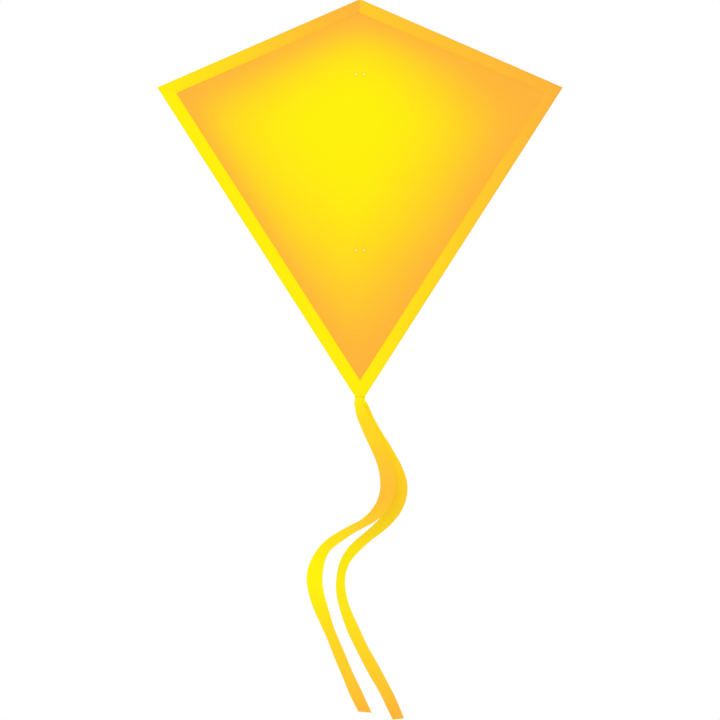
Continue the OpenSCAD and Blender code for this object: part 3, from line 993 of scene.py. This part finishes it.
def build_patch(name, z, web, thread):
    """A round cloth patch with two holes, and its ring of stitches."""
    work = bmesh.new()
    rims = [(0.0, extent(name)[0] / 2, 64), (-EYELET_X, PATCH_HOLE_R, 24), (EYELET_X, PATCH_HOLE_R, 24)]
    for x, size, steps in rims:
        ring = [work.verts.new((x + size * math.cos(a), 0, z + size * math.sin(a)))
                for a in np.arange(steps) * 2 * math.pi / steps]
        for a, b in zip(ring, ring[1:] + ring[:1]):
            work.edges.new((a, b))
    bmesh.ops.triangle_fill(work, edges=work.edges[:], use_beauty=True)
    work.verts.index_update()
    spots = np.array([v.co for v in work.verts])
    cells = [tuple(v.index for v in f.verts) for f in work.faces]
    work.free()
    points = np.concatenate([lay(spots[:, 0], spots[:, 2], CLOTH_HALF + 0.00004),
                             lay(spots[:, 0], spots[:, 2], PATCH_OUT - 0.00002)])
    tone = tone_at(z)
    made = stand_in(name, "_cloth", "frame", points, shell(len(spots), cells), web,
                    np.full(len(points), tone), points[:, (0, 2)])
    turns = np.radians(np.linspace(0, 360, 120))
    ring_x, ring_z = PATCH_SEAM_R * np.cos(turns), z + PATCH_SEAM_R * np.sin(turns)
    runs = [(lay(ring_x, ring_z, -CLOTH_HALF), -1), (lay(ring_x, ring_z, PATCH_OUT), 1)]
    return [made, sew(name, runs, thread, tone, "frame")]


# ---- hard fittings

# A turned part's outline stops this short of its axis
ON_AXIS = 0.00005


def build_eyelets(name, z, finish):
    low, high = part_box(name)
    flange = (high.z - low.z) / 2
    rim = 0.0003
    front = (arc((flange - rim, low.y + 0.0006 - rim), rim, 90, -90, 6)
             + arc((EYELET_R + rim, low.y + rim), rim, -90, -180, 5))
    back = (arc((EYELET_R + rim, high.y - rim), rim, 180, 90, 5)
            + arc((flange - rim, high.y - 0.0006 + rim), rim, 90, -90, 6))
    neck = [(0.0018, high.y - 0.0006), (0.0018, low.y + 0.0006)]
    profile = back + neck + front
    points, faces = joined([lathe(profile, (x, 0, z), (0, 1, 0)) for x in (-EYELET_X, EYELET_X)])
    stand_in(name, "_moulded", "frame", points, faces, finish,
             np.full(len(points), tone_at(z)), points[:, (0, 2)])


def build_rivet(finish):
    low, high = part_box("tail_rivet")
    head, shank = (high.x - low.x) / 2, 0.0015
    strap_low, strap_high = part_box("tail_strap")
    brim = strap_high.y + 0.0005
    profile = ([(ON_AXIS, low.y)] + [(head * math.sin(a), low.y + 0.0005 * (1 - math.cos(a)))
                                     for a in np.radians(np.linspace(12, 90, 9))]
               + [(head, low.y + 0.00062), (shank, low.y + 0.00064), (shank, strap_high.y + 0.0002)]
               + [(head, strap_high.y + 0.0002), (head, brim)]
               + [(head * math.cos(a), brim + (high.y - brim) * math.sin(a))
                  for a in np.radians(np.linspace(10, 88, 9))] + [(ON_AXIS, high.y)])
    spacer = ([(0.0016, 0.0008), (head - 0.0001, 0.0008), (head, 0.0009), (head, strap_low.y - 0.0003),
               (head - 0.0001, strap_low.y - 0.0002), (0.0016, strap_low.y - 0.0002)])
    points, faces = joined([lathe(shape, (0, 0, RIVET_Z), (0, 1, 0)) for shape in (profile, spacer)])
    stand_in("tail_rivet", "_domed", "frame", points, faces, finish)


def cap_profile(radius, length, past_end):
    """A vinyl cap: a rolled lip, a body that tapers a little, and a domed end. Height 0 is the rod's end."""
    lip = length - past_end
    dome = arc((radius - 0.0012, past_end - 0.0012), 0.0012, 90, 20, 6)
    body = [(radius - 0.00012, past_end - 0.004), (radius - 0.0001, 0.002 - lip)]
    rolled = arc((radius - 0.00045, 0.0006 - lip), 0.00045, 40, -90, 6)
    inside = [(ROD_R, -lip + 0.0004), (ROD_R, -0.00001), (ON_AXIS, -0.00001)]
    return [(ON_AXIS, past_end)] + dome + body + rolled + inside


def build_cap(node, origin, axis, body, finish):
    across, _, length = sorted(extent(node))
    points, faces = lathe(cap_profile(across / 2, length, 0.002), origin, axis)
    stand_in(node, "_vinyl", body, points, faces, finish)


def build_rings(node, places, axis, body, finish):
    outer = min(extent(node)) / 2
    profile = arc((outer - 0.00095, 0.0), 0.00095, -70, 70, 9)
    profile = [(r, h * 1.55) for r, h in profile]
    profile += [(ROD_R + 0.0003, 0.0015), (ROD_R, 0.0012), (ROD_R, -0.0012), (ROD_R + 0.0003, -0.0015)]
    points, faces = joined([lathe(profile, place, axis) for place in places])
    stand_in(node, "_rubber", body, points, faces, finish)


def sleeve_profile(half, outer, bore):
    """One sleeve of the cross joint: a tube with two shallow ribs, a raised band near each end, and eased
    ends.
    """
    shape = [(outer - 0.0006, -half), (outer - 0.0001, -half + 0.0004), (outer, -half + 0.0009),
             (outer, -half + 0.0024), (outer - 0.00035, -half + 0.0028)]
    ribs = []
    for place in (-0.5, 0.5):
        z = place * half
        ribs += [(outer - 0.00035, z - 0.0011), (outer - 0.00005, z - 0.0007),
                 (outer - 0.00005, z + 0.0007), (outer - 0.00035, z + 0.0011)]
    right = [(r, -h) for r, h in shape[::-1]]
    inside = [(bore + 0.0003, half), (bore, half - 0.0004), (bore, -half + 0.0004), (bore + 0.0003, -half)]
    return shape + ribs + right + inside


def build_joint(finish):
    """The two sleeves, each with a round pad that faces the other's."""
    bore = ROD_R + 0.00004
    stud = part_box("spreader_clip")[0].y
    for node, body, axis, y in (("spine_clip", "frame", (0, 0, 1), SPINE_Y),
                                ("spreader_clip", "spreader", (1, 0, 0), BAR_Y)):
        pad_r, half = sorted(wide / 2 for wide in extent(node)[::2])
        sleeve = lathe(sleeve_profile(half, 0.0036, bore), (0, y, CROSS_Z), axis)
        if node == "spine_clip":
            root, face = y + ROD_R + 0.0004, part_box(node)[1].y
        else:
            root, face = y - ROD_R - 0.0004, y - 0.0036
        ease = 0.0004 if face > root else -0.0004
        pad = [(ON_AXIS, root), (pad_r - 0.0016, root), (pad_r, face - 2.4 * ease), (pad_r, face - ease),
               (pad_r - 0.0004, face), (ON_AXIS, face)]
        parts = [sleeve, lathe(pad, (0, 0, CROSS_Z), (0, 1, 0))]
        if node == "spreader_clip":
            pin = [(ON_AXIS, stud), (0.0025, stud), (0.0025, stud + 0.0007), (0.0019, stud + 0.0009),
                   (0.0019, face + 0.001), (ON_AXIS, face + 0.001)]
            parts.append(lathe(pin, (0, 0, CROSS_Z), (0, 1, 0)))
        points, faces = joined(parts)
        stand_in(node, "_moulded", body, points, faces, finish)


def build_fittings():
    vinyl = moulded_material("black_vinyl", (0.015, 0.015, 0.015), 0.42, 0.12)
    rubber = moulded_material("black_rubber", (0.012, 0.012, 0.012), 0.7, 0.06, 0.3)
    nylon = moulded_material("black_nylon", (0.02, 0.02, 0.02), 0.48, 0.14)
    build_cap("spine_nose_cap", (0, SPINE_Y, SPINE_HIGH.z), (0, 0, 1), "frame", vinyl)
    build_cap("spine_tail_cap", (0, SPINE_Y, SPINE_LOW.z), (0, 0, -1), "frame", vinyl)
    build_cap("spreader_left_cap", (BAR_LOW.x, BAR_Y, CROSS_Z), (-1, 0, 0), "spreader", vinyl)
    build_cap("spreader_right_cap", (BAR_HIGH.x, BAR_Y, CROSS_Z), (1, 0, 0), "spreader", vinyl)
    half_ring = 0.0015
    low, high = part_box("spine_stop_rings")
    places = [(0, SPINE_Y, z) for z in (low.z + half_ring, high.z - half_ring)]
    build_rings("spine_stop_rings", places, (0, 0, 1), "frame", rubber)
    low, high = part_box("spreader_stop_rings")
    places = [(x, BAR_Y, CROSS_Z) for x in (low.x + half_ring, high.x - half_ring)]
    build_rings("spreader_stop_rings", places, (1, 0, 0), "spreader", rubber)
    build_joint(nylon)
    for node, stretch in (("spine", (1800, 1800, 14)), ("spreader", (14, 1800, 1800))):
        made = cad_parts[node]
        made.data.materials.clear()
        made.data.materials.append(rod_material(node + "_fibre", stretch))


# ---- the scene

def add_floor():
    """A pale round floor under the tails. The kite hangs clear of it."""
    top = CAD_BOX[0].z - 0.09
    profile = [(0.001, top), (FLOOR_R - 0.004, top), (FLOOR_R, top - 0.004), (FLOOR_R, top - 0.02),
               (0.001, top - 0.02)]
    points, faces = lathe(profile, (0, 0, 0), (0, 0, 1), 96)
    made = placed("studio_floor", new_mesh("studio_floor", points, faces, floor_material()))


def build_soft_goods():
    ripstop = cloth_material("ripstop_sail", 0.0007, 0.005)
    tape = cloth_material("binding_tape", 0.0008, 0.0016)
    web = cloth_material("pocket_webbing", 0.0011, 0.0022, 0.93, 0.7)
    ribbon = cloth_material("ribbon_taffeta", 0.0006, 0.003, 1.045)
    thread = thread_material()
    eyelet = cloth_material("dyed_plastic", 0.0009, 0.01, 0.97, 0.45)
    extras = build_pockets(web, thread)
    for name, z in (("upper_patch", 0.0), ("lower_patch", LOWER_BRIDLE_Z)):
        extras += build_patch(name, z, web, thread)
    build_eyelets("upper_eyelets", 0.0, eyelet)
    build_eyelets("lower_eyelets", LOWER_BRIDLE_Z, eyelet)
    for side in SIDES:
        hems = []
        for name in (n for n in BANDS if BANDS[n][2] == side):
            hems += [build_band(name, tape), build_band_stitches(name, thread)]
        sail = build_sail(side, ripstop)
        for made in (sail, *hems):
            fold_with_wing(made)
        sewn_on = [e for e in extras if SIDES[side] in e.name]
        if side < 0:
            sewn_on += [e for e in extras if "left" not in e.name and "right" not in e.name]
    build_strap(web)
    build_rivet(lacquer_material())
    build_ribbon("ribbon_front", FRONT_ROUTE, FRONT_RIBBON_TONE, -1, ribbon)
    build_ribbon("ribbon_back", BACK_ROUTE, BACK_RIBBON_TONE_AND_LIGHT, 1, ribbon)


set_view()
add_world()
add_camera()
add_light("key", (-0.5, -3.2, 0.9), 2.2, 28)
add_light("fill_behind", (1.8, 2.6, 0.6), 2.0, 16)
add_floor()
build_soft_goods()
build_fittings()
